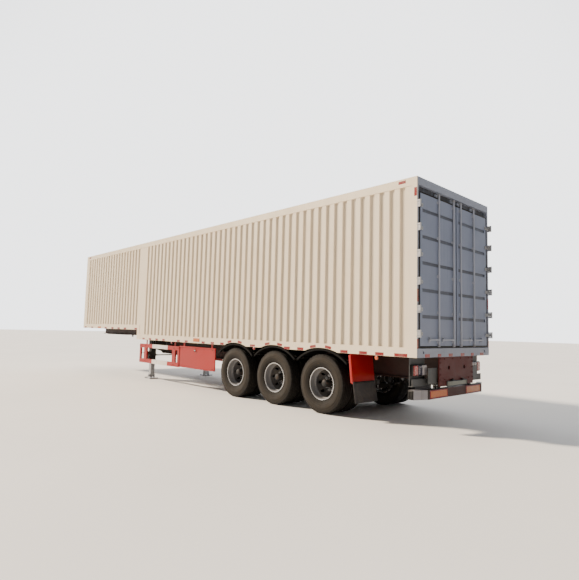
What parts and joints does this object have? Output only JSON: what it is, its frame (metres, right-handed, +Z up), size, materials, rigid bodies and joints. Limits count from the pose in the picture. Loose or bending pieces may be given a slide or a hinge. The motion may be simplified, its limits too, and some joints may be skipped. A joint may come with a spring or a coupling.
{
  "type": "box semi trailer",
  "caption": "Long corrugated box semi trailer on its landing legs, with a stepped floor, rear barn doors and twin-tyred axles that turn.",
  "frame": {"origin": "on the ground under the middle of the trailer, at the centre of its outline", "axes": "+X forward to the kingpin end, +Y to the trailer's left, +Z up"},
  "size_m": [13.898, 2.55, 4],
  "materials": {
    "body_paint": "satin",
    "rear_paint": "satin",
    "floor_wood": "matte",
    "zinc_steel": "satin",
    "beam_paint": "satin",
    "chassis_paint": "satin",
    "pin_steel": "satin",
    "guard_paint": "satin",
    "flap_rubber": "matte",
    "lamp_plastic": "gloss",
    "marker_sheet": "satin",
    "coupling_metal": "satin",
    "tyre": "matte",
    "wheel_paint": "satin"
  },
  "bodies": {
    "trailer": {"floor_deck": "floor_wood", "left_side_wall": "body_paint", "right_side_wall": "body_paint", "front_wall": "body_paint", "roof_panel": "body_paint", "top_rails": "body_paint", "bottom_rails": "body_paint", "front_posts": "body_paint", "rear_frame": "rear_paint", "hinge_lugs": "zinc_steel", "main_beams": "beam_paint", "cross_members": "chassis_paint", "kingpin_plate": "chassis_paint", "kingpin": "pin_steel", "landing_legs": "chassis_paint", "landing_feet": "zinc_steel", "landing_gearbox": "zinc_steel", "spring_hangers": "chassis_paint", "leaf_springs": "chassis_paint", "radius_rods": "chassis_paint", "axles": "chassis_paint", "brake_chambers": "chassis_paint", "air_tanks": "chassis_paint", "mudguards": "chassis_paint", "splash_plates": "guard_paint", "mud_flaps": "flap_rubber", "side_guards": "guard_paint", "side_guard_panels": "guard_paint", "underrun_guard": "chassis_paint", "rear_plate": "beam_paint", "lamp_brackets": "chassis_paint", "tail_lamps": "lamp_plastic", "marker_plates": "marker_sheet", "coupling_panel": "coupling_metal"},
    "left_door": {"left_rear_door": "rear_paint", "left_door_hinges": "zinc_steel", "left_lock_rods": "zinc_steel"},
    "right_door": {"right_rear_door": "rear_paint", "right_door_hinges": "zinc_steel", "right_lock_rods": "zinc_steel"},
    "left_rear_wheel": {"left_rear_tyres": "tyre", "left_rear_wheels": "wheel_paint"},
    "left_middle_wheel": {"left_middle_tyres": "tyre", "left_middle_wheels": "wheel_paint"},
    "left_front_wheel": {"left_front_tyres": "tyre", "left_front_wheels": "wheel_paint"},
    "right_rear_wheel": {"right_rear_tyres": "tyre", "right_rear_wheels": "wheel_paint"},
    "right_middle_wheel": {"right_middle_tyres": "tyre", "right_middle_wheels": "wheel_paint"},
    "right_front_wheel": {"right_front_tyres": "tyre", "right_front_wheels": "wheel_paint"}
  },
  "joints": [
    {"name": "left_door_hinge", "type": "hinge", "parent": "trailer", "child": "left_door", "pos_m": [-6.935, 1.261, 2.5275], "axis": [0, 0, -1], "range_deg": [0, 270]},
    {"name": "right_door_hinge", "type": "hinge", "parent": "trailer", "child": "right_door", "pos_m": [-6.935, -1.261, 2.5275], "axis": [0, 0, 1], "range_deg": [0, 270]},
    {"name": "left_rear_wheel_spin", "type": "hinge", "parent": "trailer", "child": "left_rear_wheel", "pos_m": [-4.855, 0.93, 0.54], "axis": [0, 1, 0], "continuous": true},
    {"name": "left_middle_wheel_spin", "type": "hinge", "parent": "trailer", "child": "left_middle_wheel", "pos_m": [-3.545, 0.93, 0.54], "axis": [0, 1, 0], "continuous": true},
    {"name": "left_front_wheel_spin", "type": "hinge", "parent": "trailer", "child": "left_front_wheel", "pos_m": [-2.235, 0.93, 0.54], "axis": [0, 1, 0], "continuous": true},
    {"name": "right_rear_wheel_spin", "type": "hinge", "parent": "trailer", "child": "right_rear_wheel", "pos_m": [-4.855, -0.93, 0.54], "axis": [0, 1, 0], "continuous": true},
    {"name": "right_middle_wheel_spin", "type": "hinge", "parent": "trailer", "child": "right_middle_wheel", "pos_m": [-3.545, -0.93, 0.54], "axis": [0, 1, 0], "continuous": true},
    {"name": "right_front_wheel_spin", "type": "hinge", "parent": "trailer", "child": "right_front_wheel", "pos_m": [-2.235, -0.93, 0.54], "axis": [0, 1, 0], "continuous": true}
  ]
}
